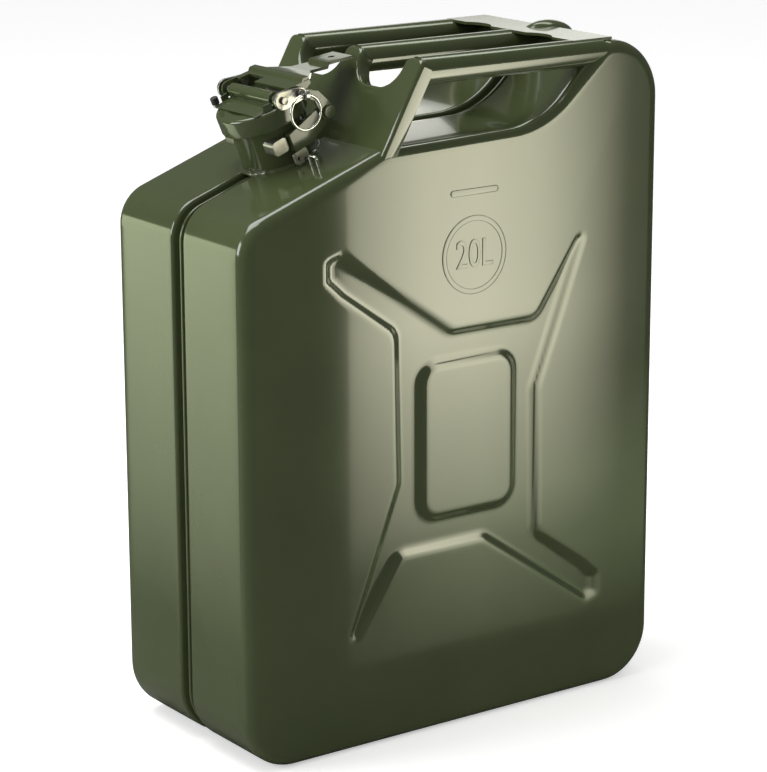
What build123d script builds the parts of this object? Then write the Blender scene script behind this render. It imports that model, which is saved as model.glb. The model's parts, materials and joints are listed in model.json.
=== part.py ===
from build123d import *
import os
from math import cos, radians, sin, tan

# Steel jerry can of the welded two-shell kind, in millimetres.
# +X runs along the wide side from the spout to the rear, -Y is the near big face, +Z is up.
# The origin is the middle of the base.

# ---- driving dimensions: tank ----
body_width = 345.0          # along X
body_depth = 156.0          # across the two big faces
body_height = 464.0         # base to the flat top at the rear
wall = 1.0                  # sheet thickness of the shells
base_corner_r = 38.0
rear_corner_r = 41.0
face_edge_r = 8.0           # rounding between a big face and the narrow sides
shoulder_angle = 20.0       # slope of the spout shoulder
shoulder_corner_r = 27.0
valley_height = 409.0       # where the shoulder meets the valley under the handles
valley_front_x = -60.0
valley_front_r = 25.0
valley_rise = 4.5           # the valley climbs this much towards the rear
valley_rear_x = 72.0
valley_rear_r = 70.0
crest_front_x = 125.0       # where the flat top at the rear begins
crest_front_r = 12.0

# ---- driving dimensions: seam ----
seam_gap_half = 6.0         # half width of the recess round the can
seam_depth = 7.0
flange_half = 1.3           # half thickness of the welded flange in the recess
flange_lip = 2.4            # the flange stays this far below the shells

# ---- driving dimensions: pressings on the big faces ----
press_centre_x = 8.0
press_centre_z = 206.0
press_depth = 4.5
press_wall = 8.5            # width of the sloping walls
pad_width = 71.0
pad_height = 100.0
pad_corner_r = 8.0
bar_length = 40.0
bar_height = 4.5
bar_z = 374.0
mark_radius = 26.8
mark_z = 331.0
mark_x = 11.6
mark_bead = 2.2
bead_proud = 0.8

# ---- driving dimensions: neck ----
neck_x = -91.3              # neck axis where it crosses the shoulder
neck_lean = 23.0
neck_outer_r = 25.0
neck_wall = 2.0
neck_sink = 12.0
neck_height = 38.3
rim_bead = 1.6
rim_bead_height = 3.8
neck_weld_leg = 3.5
vent_r = 5.0
vent_wall = 1.0
vent_end_x = 110.0
vent_drop = 24.0            # vent tube's depth below the valley floor
vent_run = 14.0             # straight run below the neck's foot
vent_bend_r = 8.0

# ---- driving dimensions: lid and closure, in the neck's own axes ----
lid_r = 30.0
lid_wall = 1.6
lid_top = 42.5
lid_skirt = 13.0
lid_edge_r = 2.0
gasket_inner_r = 20.0
seal_gap = 0.3
hinge_t = 27.0              # swing hinge, behind and beside the neck
hinge_s = 24.0
hinge_pin_r = 2.5
hinge_boss_r = 6.0
lever_pin_t = -1.5          # lever pivot, across the top of the lid
lever_pin_s = 47.3
lever_pin_r = 2.5
lever_pin_half = 37.4
knuckle_r = 4.6
lock_t = 12.5               # locking pin
lock_s = 45.2
lock_r = 2.0
lock_inner_y = 14.0
running_gap = 0.05          # radial clearance of a turning or sliding pin
side_gap = 0.5              # clearance between plates that pass each other
arm_thickness = 2.2
arm_boss_r = 6.4
arm_tip_r = 3.9
arm_elbow_t = 23.5
arm_elbow_s = 38.5
ear_thickness = 2.0
ear_inner_y = 30.7
band_thickness = 1.8
band_low = 10.5
band_high = 23.5
rivet_head_r = 4.4
rivet_head = 1.6
saddle_front_t = 19.0
saddle_half = 24.5
saddle_thickness = 1.6
lever_sheet = 2.0
cheek_thickness = 1.8
lever_tab_half = 11.5
ring_r = 11.5
ring_wire_r = 0.9
eye_r = 3.4
eye_thickness = 3.0

# ---- driving dimensions: handles ----
handle_r = 9.5
handle_wall = 1.5
handle_spacing = 68.0
handle_top = 466.0
plate_foot_x = -66.0
plate_foot_z = 400.0
plate_lean = 29.0           # front plate's lean to the rear
plate_sheet = 1.6
plate_flange = 11.0
plate_half = 77.5
scallop_depth = 21.0
rear_plate_sheet = 2.0
rear_plate_front_x = 100.0
rear_plate_rear_x = 134.0
rear_plate_half = 71.0
slot_end_x = 86.0
hump_front_x = 109.0
hump_rear_x = 158.0
hump_rear_z = 455.5
hump_half_width = 12.0
hump_height = 4.0
slot_end_r = 20.0

# ---- derived ----
half_width = body_width / 2
half_depth = body_depth / 2
shoulder_slope = tan(radians(shoulder_angle))
shoulder_end_z = valley_height - (half_width + valley_front_x) * shoulder_slope
neck_z = valley_height - (valley_front_x - neck_x) * shoulder_slope
along = Vector(cos(radians(neck_lean)), 0, sin(radians(neck_lean)))     # t, to the rear
axis_up = Vector(-sin(radians(neck_lean)), 0, cos(radians(neck_lean)))  # s, out of the neck
neck_foot = Vector(neck_x, 0, neck_z)
neck_plane = Plane(origin=neck_foot, x_dir=along, z_dir=axis_up)
neck_line = Axis(neck_foot, axis_up)
side_plane = Plane(origin=neck_foot, x_dir=along, z_dir=(0, -1, 0))     # local x is t, y is s
arm_inner_y = ear_inner_y + ear_thickness + side_gap
arm_outer_y = arm_inner_y + arm_thickness
cup_inner_r = lid_r - lid_wall
cup_roof = lid_top - lid_wall
band_r = neck_outer_r + band_thickness
handle_z = handle_top - handle_r
handle_rows = [-handle_spacing, 0.0, handle_spacing]

os.makedirs("parts", exist_ok=True)
pieces = []


def keep(builder, label):
    # label a finished piece and write it out
    builder.part.label = label
    export_step(builder.part, f"parts/{label}.step")
    pieces.append(builder.part)


def point_at(t, s, y=0.0):
    # a point given in the neck's axes
    return neck_foot + along * t + axis_up * s + Vector(0, y, 0)


def outline(start_y, inset=0.0):
    # side view of the tank, drawn start_y out on the near side
    corners = [
        (-half_width, 0),
        (half_width, 0),
        (half_width, body_height),
        (crest_front_x, body_height),
        (valley_rear_x, valley_height + valley_rise),
        (valley_front_x, valley_height),
        (-half_width, shoulder_end_z),
    ]
    radii = [
        base_corner_r,
        base_corner_r,
        rear_corner_r,
        crest_front_r,
        valley_rear_r,
        valley_front_r,
        shoulder_corner_r,
    ]
    with BuildSketch(Plane.XZ.offset(start_y)) as view:
        with BuildLine():
            FilletPolyline(*corners, radius=radii, close=True)
        make_face()
        if inset:
            offset(amount=-inset, mode=Mode.REPLACE)
    return view.sketch


def inset_polygon(points, distance):
    # each side moved inwards by the same distance; the points run clockwise
    moved = []
    for before, here, after in zip(points[-1:] + points[:-1], points, points[1:] + points[:1]):
        a = (Vector(*here) - Vector(*before)).normalized()
        b = (Vector(*after) - Vector(*here)).normalized()
        normal_a = Vector(a.Y, -a.X)
        normal_b = Vector(b.Y, -b.X)
        corner = (normal_a + normal_b) / (1 + normal_a.dot(normal_b))
        moved.append((here[0] + corner.X * distance, here[1] + corner.Y * distance))
    return moved


def press_points():
    # the X-shaped channel: one half, then the same half turned by 180 degrees
    half = [
        (-117, 137),
        (-104, 141),
        (-13, 77.5),
        (56.5, 77.5),
        (114.5, 161),
        (61, 24),
        (63, -78.5),
        (104, -108),
        (117, -120),
    ]
    return half + [(-x, -z) for x, z in half]


def press_cutter(depth_offset):
    # channel with sloping walls, less the raised pad in its middle
    face_y = half_depth - depth_offset
    floor_y = face_y - press_depth
    pad_foot = 2 * press_wall
    with BuildPart() as channel:
        for points, y in ((press_points(), face_y), (inset_polygon(press_points(), press_wall), floor_y)):
            with BuildSketch(Plane.XZ.offset(y)):
                with BuildLine():
                    Polyline(*[(x + press_centre_x, z + press_centre_z) for x, z in points], close=True)
                make_face()
        loft(ruled=True)
    with BuildPart() as pad:
        for grow, y in ((0, face_y), (pad_foot, floor_y)):
            with BuildSketch(Plane.XZ.offset(y)):
                with Locations((press_centre_x, press_centre_z)):
                    RectangleRounded(pad_width + grow, pad_height + grow, pad_corner_r + grow / 4)
        loft(ruled=True)
    return channel.part - pad.part


# ---- tank: two pressed shells, welded at a flange in a recess ----

with BuildPart() as near_block:
    extrude(outline(seam_gap_half), amount=half_depth - seam_gap_half)
    fillet(near_block.faces().sort_by(Axis.Y)[0].edges(), radius=face_edge_r)
    add(press_cutter(0), mode=Mode.SUBTRACT)
    extrude(outline(0, seam_depth), amount=seam_gap_half)

with BuildPart() as near_cavity:
    extrude(outline(seam_gap_half + wall, wall), amount=half_depth - seam_gap_half - 2 * wall)
    fillet(near_cavity.faces().sort_by(Axis.Y)[0].edges(), radius=face_edge_r - wall)
    add(press_cutter(wall), mode=Mode.SUBTRACT)
    extrude(outline(0, seam_depth + wall), amount=seam_gap_half + wall)

far_block = mirror(near_block.part, about=Plane.XZ)

# the neck's passage through the shells, as one solid
with BuildPart() as neck_passage:
    with BuildSketch(neck_plane.offset(-neck_sink)):
        Circle(neck_outer_r)
    extrude(amount=neck_sink + neck_height)

# the embossed bar and the ring round the capacity mark stand slightly proud of the near face
with BuildPart() as near_shell:
    add(near_block.part)
    add(near_cavity.part, mode=Mode.SUBTRACT)
    with BuildSketch(Plane.XZ.offset(half_depth - wall / 2)):
        with Locations((mark_x, bar_z)):
            SlotOverall(bar_length, bar_height)
        with Locations((mark_x, mark_z)):
            Circle(mark_radius)
            Circle(mark_radius - mark_bead, mode=Mode.SUBTRACT)
    extrude(amount=bead_proud + wall / 2)
    add(neck_passage.part, mode=Mode.SUBTRACT)
keep(near_shell, "near_shell")

with BuildPart() as far_shell:
    add(mirror(near_shell.part, about=Plane.XZ))
keep(far_shell, "far_shell")

# welded flange: a rib all the way round in the middle of the recess
with BuildPart() as seam_flange:
    extrude(outline(0, flange_lip), amount=flange_half, both=True)
    extrude(outline(0, seam_depth), amount=flange_half, both=True, mode=Mode.SUBTRACT)
    add(neck_passage.part, mode=Mode.SUBTRACT)
keep(seam_flange, "seam_flange")

# ---- neck ----

with BuildPart() as neck_tube:
    with BuildSketch(neck_plane.offset(-neck_sink)):
        Circle(neck_outer_r)
        Circle(neck_outer_r - neck_wall, mode=Mode.SUBTRACT)
    extrude(amount=neck_sink + neck_height)
keep(neck_tube, "neck_tube")

with BuildPart() as neck_rim:
    with BuildSketch(side_plane):
        with Locations((neck_outer_r + rim_bead / 2, neck_height - rim_bead_height / 2)):
            RectangleRounded(rim_bead, rim_bead_height, 0.45 * rim_bead)
        with Locations((neck_outer_r + rim_bead / 4, neck_height - rim_bead_height / 2)):
            Rectangle(rim_bead / 2, rim_bead_height)
    revolve(axis=neck_line)
keep(neck_rim, "neck_rim")

with BuildPart() as neck_weld:
    with BuildSketch(side_plane):
        with BuildLine():
            Polyline(
                (neck_outer_r, -neck_sink),
                (neck_outer_r + neck_weld_leg, -neck_sink),
                (neck_outer_r + neck_weld_leg, 1.0),
                (neck_outer_r, 1.0 + neck_weld_leg),
                close=True,
            )
        make_face()
    revolve(axis=neck_line)
    add(near_block.part, mode=Mode.SUBTRACT)
    add(far_block, mode=Mode.SUBTRACT)
    add(seam_flange.part, mode=Mode.SUBTRACT)
    extrude(outline(0, seam_depth), amount=seam_gap_half, both=True, mode=Mode.SUBTRACT)
neck_weld.part = Compound(neck_weld.part.solids().sort_by(SortBy.VOLUME)[-1:])
keep(neck_weld, "neck_weld")

# breather: from the neck's foot down into the tank and back to the air space at the rear
vent_z = valley_height - vent_drop
vent_start = point_at(neck_outer_r - vent_r, -neck_sink)
vent_bend = point_at(neck_outer_r - vent_r, -neck_sink - vent_run)
with BuildPart() as breather_tube:
    with BuildLine() as vent_path:
        FilletPolyline(vent_start, vent_bend, (vent_end_x, 0, vent_z), radius=vent_bend_r)
    with BuildSketch(Plane(origin=vent_start, z_dir=vent_path.line % 0)):
        Circle(vent_r)
        Circle(vent_r - vent_wall, mode=Mode.SUBTRACT)
    sweep()
keep(breather_tube, "breather_tube")

# ---- hinge bracket: a band round the rear of the neck with two ears ----

block_rear_t = 6.5
block_front_t = -5.0

with BuildPart() as hinge_bracket:
    with BuildSketch(neck_plane.offset(band_low)):
        Circle(band_r)
    extrude(amount=band_high - band_low)
    for side in (1, -1):
        with BuildSketch(side_plane.offset(side * ear_inner_y)):
            with BuildLine():
                Polyline(
                    (block_front_t, band_low),
                    (block_front_t, band_high),
                    (hinge_t - 2.0, hinge_s + hinge_boss_r - 0.3),
                    (hinge_t + 3.0, hinge_s - hinge_boss_r + 0.9),
                    (block_rear_t + 2.0, band_low),
                    close=True,
                )
            make_face()
            with Locations((hinge_t, hinge_s)):
                Circle(hinge_boss_r)
                Circle(hinge_pin_r, mode=Mode.SUBTRACT)
        extrude(amount=side * ear_thickness)
        with BuildSketch(side_plane):
            with BuildLine():
                Polyline(
                    (block_front_t, band_low),
                    (block_front_t, band_high),
                    (block_rear_t, band_high),
                    (block_rear_t, band_low),
                    close=True,
                )
            make_face()
        extrude(amount=side * ear_inner_y)
    add(neck_passage.part, mode=Mode.SUBTRACT)
    with BuildSketch(neck_plane.offset(band_low)):
        with Locations((block_front_t - band_r, 0)):
            Rectangle(2 * band_r, 2 * lid_r)
    extrude(amount=band_high - band_low, mode=Mode.SUBTRACT)
keep(hinge_bracket, "hinge_bracket")

with BuildPart() as hinge_rivets:
    for side in (1, -1):
        with BuildSketch(side_plane.offset(side * (ear_inner_y - rivet_head))):
            with Locations((hinge_t, hinge_s)):
                Circle(rivet_head_r - 0.8)
        extrude(amount=side * rivet_head)
        with BuildSketch(side_plane.offset(side * ear_inner_y)):
            with Locations((hinge_t, hinge_s)):
                Circle(hinge_pin_r)
        extrude(amount=side * (arm_outer_y + side_gap / 2 - ear_inner_y))
        with BuildSketch(side_plane.offset(side * (arm_outer_y + side_gap / 2))):
            with Locations((hinge_t, hinge_s)):
                Circle(rivet_head_r)
        extrude(amount=side * rivet_head)
keep(hinge_rivets, "hinge_rivets")

# rounded catch lugs on both sides of the neck, in front of the bracket
lug_front_t = -18.0
lug_rear_t = block_front_t - 1.2
with BuildPart() as side_lugs:
    for side in (1, -1):
        with BuildSketch(side_plane):
            with Locations(((lug_front_t + lug_rear_t) / 2, (band_low + band_high) / 2 + 1.0)):
                RectangleRounded(lug_rear_t - lug_front_t, band_high - band_low - 3.0, 3.0)
        extrude(amount=side * (band_r + 2.4))
    with BuildSketch(neck_plane):
        Circle(neck_outer_r)
    extrude(amount=neck_height, mode=Mode.SUBTRACT)
keep(side_lugs, "side_lugs")

# small notched plates below the bracket, for a seal wire
seal_plate_height = 9.0
with BuildPart() as seal_plates:
    for side in (1, -1):
        with BuildSketch(side_plane.offset(side * ear_inner_y)):
            with Locations(((block_front_t + 3.0), band_low - seal_plate_height / 2)):
                RectangleRounded(11.0, seal_plate_height, 2.0)
            with Locations(((block_front_t + 3.0), band_low - 0.5)):
                Rectangle(8.0, 1.0)
            with Locations((block_front_t + 0.6, band_low - 5.0)):
                Circle(1.5, mode=Mode.SUBTRACT)
            with Locations((block_front_t + 5.4, band_low - seal_plate_height + 0.8)):
                Rectangle(3.0, 4.0, mode=Mode.SUBTRACT)
        extrude(amount=side * ear_thickness)
keep(seal_plates, "seal_plates")

# wire staple on the near shoulder
staple_x = neck_x - 2.0
staple_y = -45.0
staple_width = 8.0
staple_height = 8.0
staple_wire_r = 0.9
staple_foot_z = valley_height - (valley_front_x - staple_x) * shoulder_slope
staple_side = Vector(0, staple_width / 2, 0)
staple_up = Vector(-sin(radians(shoulder_angle)), 0, cos(radians(shoulder_angle)))
staple_foot = Vector(staple_x, staple_y, staple_foot_z)
with BuildPart() as wire_staple:
    with BuildLine() as staple_path:
        FilletPolyline(
            staple_foot - staple_side - staple_up * 2,
            staple_foot - staple_side + staple_up * staple_height,
            staple_foot + staple_side + staple_up * staple_height,
            staple_foot + staple_side - staple_up * 2,
            radius=2.0,
        )
    with BuildSketch(Plane(origin=staple_path.line @ 0, z_dir=staple_path.line % 0)):
        Circle(staple_wire_r)
    sweep()
    add(near_block.part, mode=Mode.SUBTRACT)
keep(wire_staple, "wire_staple")

# ---- lid ----

with BuildPart() as lid_cup:
    with BuildSketch(neck_plane.offset(lid_top - lid_skirt)):
        Circle(lid_r)
    extrude(amount=lid_skirt)
    fillet(lid_cup.faces().sort_by(neck_line)[-1].edges(), radius=lid_edge_r)
    with BuildSketch(neck_plane.offset(lid_top - lid_skirt)):
        Circle(cup_inner_r)
    extrude(amount=lid_skirt - lid_wall, mode=Mode.SUBTRACT)
keep(lid_cup, "lid_cup")

gasket_low = neck_height + seal_gap
with BuildPart() as gasket:
    with BuildSketch(neck_plane.offset(gasket_low)):
        Circle(cup_inner_r - 0.4)
        Circle(gasket_inner_r, mode=Mode.SUBTRACT)
    extrude(amount=cup_roof - gasket_low)
keep(gasket, "gasket")

with BuildPart() as gasket_plate:
    with BuildSketch(neck_plane.offset(cup_roof - 1.5)):
        Circle(gasket_inner_r - 0.3)
    extrude(amount=1.5)
keep(gasket_plate, "gasket_plate")

# saddle: a plate welded on the lid, rolled round the lever's pin at its rear edge
with BuildPart() as lid_saddle:
    with BuildSketch(side_plane):
        with Locations((lever_pin_t, lever_pin_s)):
            Circle(knuckle_r)
        with BuildLine():
            Polyline(
                (-saddle_front_t, lid_top),
                (-saddle_front_t, lid_top + saddle_thickness),
                (lever_pin_t - knuckle_r, lid_top + saddle_thickness),
                (lever_pin_t - 2.0, lever_pin_s),
                (lever_pin_t + knuckle_r, lid_top + saddle_thickness),
                (lever_pin_t + knuckle_r, lid_top),
                close=True,
            )
        make_face()
        with Locations((lever_pin_t, lever_pin_s)):
            Circle(lever_pin_r, mode=Mode.SUBTRACT)
    extrude(amount=saddle_half, both=True)
    with BuildSketch(neck_plane):
        Circle(lid_r)
    extrude(amount=lid_top, mode=Mode.SUBTRACT)
keep(lid_saddle, "lid_saddle")

# small upright lugs at the saddle's front corners
corner_lug = 5.0
corner_lug_t = -9.5
corner_lug_length = 6.0
lug_y = saddle_half + corner_lug / 2
with BuildPart() as saddle_lugs:
    with BuildSketch(neck_plane.offset(lid_top)):
        with Locations((corner_lug_t, -lug_y), (corner_lug_t, lug_y)):
            RectangleRounded(corner_lug_length, corner_lug, 0.2 * corner_lug)
    extrude(amount=corner_lug)
    with BuildSketch(neck_plane):
        Circle(lid_r - lid_edge_r)
    extrude(amount=lid_top + corner_lug, mode=Mode.INTERSECT)
keep(saddle_lugs, "saddle_lugs")

with BuildPart() as pivot_pin:
    with BuildSketch(side_plane):
        with Locations((lever_pin_t, lever_pin_s)):
            Circle(lever_pin_r)
    extrude(amount=lever_pin_half, both=True)
keep(pivot_pin, "pivot_pin")

# swing arms: from the pin across the lid, past the locking pin and down to the hinge rivets
arm_stations = [
    ((lever_pin_t, lever_pin_s), arm_boss_r),
    ((lock_t, lock_s), arm_tip_r + 0.5),
    ((arm_elbow_t, arm_elbow_s), arm_tip_r),
    ((hinge_t, hinge_s), hinge_boss_r),
]
for name, side in (("near_swing_arm", 1), ("far_swing_arm", -1)):
    with BuildPart() as swing_arm:
        for (start, start_r), (end, end_r) in zip(arm_stations, arm_stations[1:]):
            with BuildSketch(side_plane.offset(side * arm_inner_y)):
                with Locations(start):
                    Circle(start_r)
                with Locations(end):
                    Circle(end_r)
                make_hull()
            extrude(amount=side * arm_thickness)
        with BuildSketch(side_plane.offset(side * arm_inner_y)):
            with Locations((lever_pin_t, lever_pin_s)):
                Circle(lever_pin_r)
            with Locations((lock_t, lock_s)):
                Circle(lock_r + running_gap)
            with Locations((hinge_t, hinge_s)):
                Circle(hinge_pin_r + running_gap)
        extrude(amount=side * arm_thickness, mode=Mode.SUBTRACT)
    keep(swing_arm, name)

# ---- lever ----

cheek_inner_y = saddle_half + corner_lug + side_gap
cheek_outer_y = cheek_inner_y + cheek_thickness
lever_eye_r = 5.2
notch_gap = 1.7             # room round the locking pin
notch_half = lock_r + notch_gap
notch_top_s = lock_s + notch_half - 0.7
notch_height = 20.0
plate_start_t = 6.5
rib_rise = 2.2
tab_step = 2.4
tab_end_t = 72.0
tab_hole_t = 63.0
tab_hole_r = 2.3
wide_end_t = 24.0           # the plate keeps its full width up to here
narrow_start_t = 38.0       # and is as narrow as the tab from here
window_length = 8.0         # cut-out over the locking pin
window_width = 18.0
window_y = 17.0
lever_line = [
    (plate_start_t, 51.3),
    (17.5, 50.2),
    (19.5, 50.0 + rib_rise),
    (wide_end_t, 49.4 + rib_rise),
    (wide_end_t + 2.0, 49.0),
    (34.0, 46.6),
    (51.0, 41.6),
    (53.0, 41.2 + tab_step),
    (tab_end_t, 36.2 + tab_step),
]

with BuildPart() as lever:
    with BuildSketch(side_plane):
        with BuildLine():
            Polyline(*lever_line, *[(t, s - lever_sheet) for t, s in reversed(lever_line)], close=True)
        make_face()
    extrude(amount=cheek_outer_y, both=True)
    with BuildSketch(neck_plane.offset(lid_top - lid_skirt)):
        with BuildLine():
            Polyline(
                (plate_start_t, -cheek_outer_y),
                (wide_end_t, -cheek_outer_y),
                (narrow_start_t, -lever_tab_half),
                (tab_end_t, -lever_tab_half),
                (tab_end_t, lever_tab_half),
                (narrow_start_t, lever_tab_half),
                (wide_end_t, cheek_outer_y),
                (plate_start_t, cheek_outer_y),
                close=True,
            )
        make_face()
        with Locations((tab_hole_t, 0)):
            Circle(tab_hole_r, mode=Mode.SUBTRACT)
        with Locations((plate_start_t + window_length / 2, window_y)):
            Rectangle(window_length, window_width, mode=Mode.SUBTRACT)
    extrude(amount=lid_r, mode=Mode.INTERSECT)
    for side in (1, -1):
        with BuildSketch(side_plane.offset(side * cheek_inner_y)):
            with Locations((lever_pin_t, lever_pin_s)):
                Circle(lever_eye_r)
            with BuildLine():
                Polyline(
                    (lever_pin_t, lever_pin_s + lever_eye_r),
                    (17.5, 50.2),
                    (wide_end_t, 49.3),
                    (wide_end_t, 46.5),
                    (17.0, 43.6),
                    (lever_pin_t, lever_pin_s - lever_eye_r),
                    close=True,
                )
            make_face()
            with Locations((lever_pin_t, lever_pin_s)):
                Circle(lever_pin_r + running_gap, mode=Mode.SUBTRACT)
            with Locations((lock_t, notch_top_s - notch_height / 2)):
                Rectangle(2 * notch_half, notch_height, mode=Mode.SUBTRACT)
        extrude(amount=side * cheek_thickness)
keep(lever, "lever")

# ---- locking pin and its ring ----

lock_point = point_at(lock_t, lock_s)
collar_y = arm_outer_y + side_gap
collar_length = 1.4
collar_rim = 1.2
eye_y = collar_y + collar_length + eye_r - running_gap
with BuildPart() as locking_pin:
    with BuildSketch(side_plane.offset(lock_inner_y)):
        with Locations((lock_t, lock_s)):
            Circle(lock_r)
    extrude(amount=collar_y + collar_length - lock_inner_y)
    chamfer(locking_pin.faces().sort_by(Axis.Y)[-1].edges(), length=0.6)
    with BuildSketch(side_plane.offset(collar_y)):
        with Locations((lock_t, lock_s)):
            Circle(lock_r + collar_rim)
    extrude(amount=collar_length)
    with BuildSketch(Plane.YZ.offset(lock_point.X)):
        with Locations((-eye_y, lock_point.Z)):
            Circle(eye_r)
            Circle(ring_wire_r + side_gap, mode=Mode.SUBTRACT)
    extrude(amount=eye_thickness / 2, both=True)
keep(locking_pin, "locking_pin")

with BuildPart() as pull_ring:
    with Locations((lock_point.X, -eye_y, lock_point.Z - ring_r)):
        Torus(ring_r, ring_wire_r, rotation=(90, 0, 0))
keep(pull_ring, "pull_ring")

# ---- handles ----

plate_out = Vector(-cos(radians(plate_lean)), 0, sin(radians(plate_lean)))
plate_foot = Vector(plate_foot_x, 0, plate_foot_z)
front_plane = Plane(origin=plate_foot, x_dir=(0, -1, 0), z_dir=plate_out)
plate_length = (handle_top - plate_foot_z) / cos(radians(plate_lean))
crest_half = handle_r + side_gap
scallop_half = handle_spacing / 2 - crest_half


def front_outline(start, inset=0.0):
    # the front plate's outline: three crests with a round scallop between each two
    slot = 3 * scallop_depth
    slot_y = plate_length - scallop_depth / cos(radians(plate_lean)) - inset + slot / 2
    with BuildSketch(front_plane.offset(start)) as view:
        with Locations((0, plate_length / 2)):
            Rectangle(2 * (plate_half - inset), plate_length - 2 * inset)
        with Locations((-handle_spacing / 2, slot_y), (handle_spacing / 2, slot_y)):
            SlotOverall(slot, 2 * (scallop_half + inset), rotation=90, mode=Mode.SUBTRACT)
    return view.sketch


with BuildPart() as front_tray:
    extrude(front_outline(0), amount=-plate_flange)

with BuildPart() as seam_fill:
    extrude(outline(0), amount=seam_gap_half, both=True)

with BuildPart() as handle_front_plate:
    add(front_tray.part)
    extrude(front_outline(-plate_sheet, plate_sheet), amount=-plate_flange, mode=Mode.SUBTRACT)
    add(near_block.part, mode=Mode.SUBTRACT)
    add(far_block, mode=Mode.SUBTRACT)
    add(seam_fill.part, mode=Mode.SUBTRACT)
keep(handle_front_plate, "handle_front_plate")

tube_start_x = plate_foot_x + plate_length * sin(radians(plate_lean)) + plate_sheet
for name, row in zip(("near_handle", "middle_handle", "far_handle"), handle_rows):
    with BuildPart() as handle:
        with BuildSketch(Plane.YZ.offset(tube_start_x)):
            with Locations((row, handle_z)):
                Circle(handle_r)
                Circle(handle_r - handle_wall, mode=Mode.SUBTRACT)
        extrude(amount=crest_front_x - tube_start_x)
        add(front_tray.part, mode=Mode.SUBTRACT)
        add(near_block.part, mode=Mode.SUBTRACT)
        add(far_block, mode=Mode.SUBTRACT)
        add(seam_fill.part, mode=Mode.SUBTRACT)
    keep(handle, name)

with BuildPart() as handle_rear_plate:
    with BuildSketch(Plane.XY.offset(body_height)):
        with Locations(((rear_plate_front_x + rear_plate_rear_x) / 2, 0)):
            Rectangle(rear_plate_rear_x - rear_plate_front_x, 2 * rear_plate_half)
        with Locations((slot_end_x, -handle_spacing / 2), (slot_end_x, handle_spacing / 2)):
            Circle(slot_end_r, mode=Mode.SUBTRACT)
    extrude(amount=rear_plate_sheet)
    for row in handle_rows:
        with BuildSketch(Plane.YZ.offset(tube_start_x)):
            with Locations((row, handle_z)):
                Circle(handle_r)
        extrude(amount=crest_front_x - tube_start_x, mode=Mode.SUBTRACT)
keep(handle_rear_plate, "handle_rear_plate")

# raised cover over the seam behind the middle tube
with BuildPart() as seam_cover:
    with BuildSketch(Plane.XZ):
        with BuildLine():
            Polyline(
                (hump_front_x, handle_top),
                (hump_front_x + hump_height, handle_top + hump_height),
                (rear_plate_rear_x - hump_height, handle_top + hump_height),
                (hump_rear_x, hump_rear_z),
                (rear_plate_rear_x, hump_rear_z),
                (rear_plate_rear_x, handle_top),
                close=True,
            )
        make_face()
    extrude(amount=hump_half_width, both=True)
    for other in (near_block.part, far_block, seam_fill.part):
        add(other, mode=Mode.SUBTRACT)
keep(seam_cover, "seam_cover")
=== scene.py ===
import json
from math import cos, pi, radians, sin, sqrt, tan

import bmesh
import bpy
import numpy as np
from mathutils import Matrix, Vector, noise


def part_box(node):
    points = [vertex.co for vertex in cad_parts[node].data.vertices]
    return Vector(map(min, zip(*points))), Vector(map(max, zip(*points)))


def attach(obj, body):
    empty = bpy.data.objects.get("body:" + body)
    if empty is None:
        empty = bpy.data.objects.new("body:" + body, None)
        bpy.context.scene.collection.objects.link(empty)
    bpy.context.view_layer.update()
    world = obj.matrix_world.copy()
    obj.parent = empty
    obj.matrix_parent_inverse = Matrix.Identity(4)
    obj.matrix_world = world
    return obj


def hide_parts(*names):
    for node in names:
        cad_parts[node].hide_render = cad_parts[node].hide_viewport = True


# Welded steel jerry can: pressed shells, leaning neck, cam-lever lid and three tube handles.
# Pieces are drawn in millimetres and brought to metres when they are finished.

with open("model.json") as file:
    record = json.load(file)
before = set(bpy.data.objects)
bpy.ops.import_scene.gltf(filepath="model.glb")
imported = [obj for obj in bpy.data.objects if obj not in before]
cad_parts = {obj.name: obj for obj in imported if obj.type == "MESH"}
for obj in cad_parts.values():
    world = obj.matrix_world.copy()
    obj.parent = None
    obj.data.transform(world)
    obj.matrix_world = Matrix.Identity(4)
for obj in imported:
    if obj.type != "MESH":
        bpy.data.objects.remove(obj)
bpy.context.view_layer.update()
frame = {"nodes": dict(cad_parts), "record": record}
mm = 0.001

# the neck's own axes, from the record: local x runs to the rear, y across, z out of the mouth
neckMount = [m for m in frame["record"]["mounts"] if m["name"] == "neck_bore"][0]
neckUp = Vector(neckMount["axis"]).normalized()
neckAcross = Vector((0, 1, 0))
neckAlong = neckAcross.cross(neckUp)
neckHeight = 38.3
neckMouth = Vector(neckMount["pos_m"]) + neckUp * neckMount["dims"]["length_mm"] / 2 * mm
neckFoot = neckMouth - neckUp * neckHeight * mm
neckSpace = Matrix((neckAlong, neckAcross, neckUp)).transposed().to_4x4()
neckSpace = Matrix.Translation(neckFoot) @ neckSpace @ Matrix.Scale(mm, 4)
worldSpace = Matrix.Scale(mm, 4)


def roundPath(points, radii, steps=6, closed=False):
    # a polyline whose corners are arcs
    points = [Vector(p) for p in points]
    if not isinstance(radii, (list, tuple)):
        radii = [radii] * len(points)
    last = len(points) - 1
    path = []
    for i, here in enumerate(points):
        if radii[i] == 0 or (not closed and i in (0, last)):
            path.append(here)
            continue
        inward = (points[i - 1] - here).normalized()
        onward = (points[0 if i == last else i + 1] - here).normalized()
        half = inward.angle(onward) / 2
        centre = here + (inward + onward).normalized() * (radii[i] / sin(half))
        start = here + inward * (radii[i] / tan(half)) - centre
        end = here + onward * (radii[i] / tan(half)) - centre
        path += [centre + start.slerp(end, k / steps).normalized() * radii[i] for k in range(steps + 1)]
    return path


def pathEdges(bm, path, closed=True):
    verts = [bm.verts.new(p) for p in path]
    pairs = zip(verts, verts[1:] + verts[:1]) if closed else zip(verts, verts[1:])
    return verts, [bm.edges.new(p) for p in pairs]


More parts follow.
